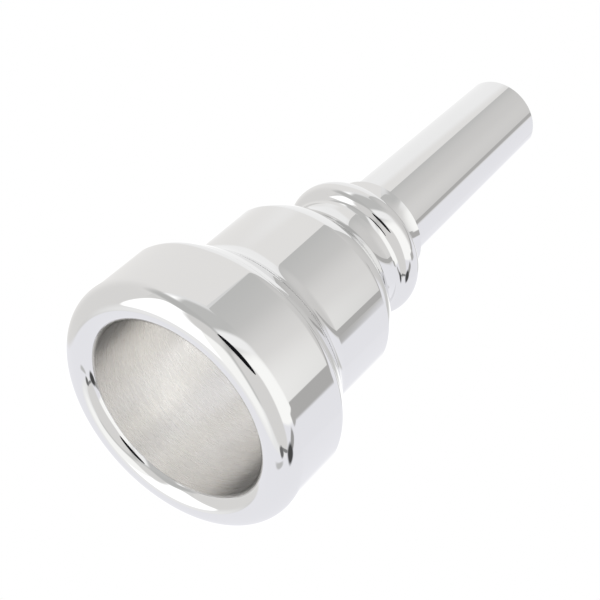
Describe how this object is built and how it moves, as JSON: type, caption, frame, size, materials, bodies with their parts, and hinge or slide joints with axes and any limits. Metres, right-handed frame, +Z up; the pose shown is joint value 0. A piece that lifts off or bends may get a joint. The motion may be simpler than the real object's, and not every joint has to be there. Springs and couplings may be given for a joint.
{
  "type": "brass instrument mouthpiece",
  "caption": "Screw-together mouthpiece for a large-shank brass instrument: rounded rim, cup with bowl and throat, beaded collar and tapered shank with a backbore.",
  "frame": {"origin": "centre of the rim plane, where the axis meets the highest circle of the rim", "axes": "+Y along the axis from the rim to the end of the shank, so the rim faces -Y; +Z up, +X to the right seen from the rim"},
  "size_m": [0.0386, 0.0876, 0.0386],
  "materials": {
    "plated_brass": "polished silver plate",
    "seal_rubber": "matte"
  },
  "bodies": {
    "cup": {"cup": "plated_brass"},
    "rim_seal": {"rim_o_ring": "seal_rubber"},
    "rim": {"rim": "plated_brass"},
    "shank_seal": {"shank_o_ring": "seal_rubber"},
    "shank": {"shank": "plated_brass"}
  },
  "joints": [
    {"name": "rim_travel", "type": "slide", "parent": "cup", "child": "rim_seal", "axis": [0, -1, 0], "range_m": [0, 0.00675]},
    {"name": "rim_turn", "type": "hinge", "parent": "rim_seal", "child": "rim", "pos_m": [0, 0, 0], "axis": [0, -1, 0], "range_deg": [0, 1621]},
    {"name": "shank_travel", "type": "slide", "parent": "cup", "child": "shank_seal", "axis": [0, 1, 0], "range_m": [0, 0.0045]},
    {"name": "shank_turn", "type": "hinge", "parent": "shank_seal", "child": "shank", "pos_m": [0, 0.0501, 0], "axis": [0, 1, 0], "range_deg": [0, 1621]}
  ],
  "couplings": [
    {"joint": "rim_turn", "follows": "rim_travel", "rad_per_m": 4188.8},
    {"joint": "shank_turn", "follows": "shank_travel", "rad_per_m": 6283.2}
  ]
}
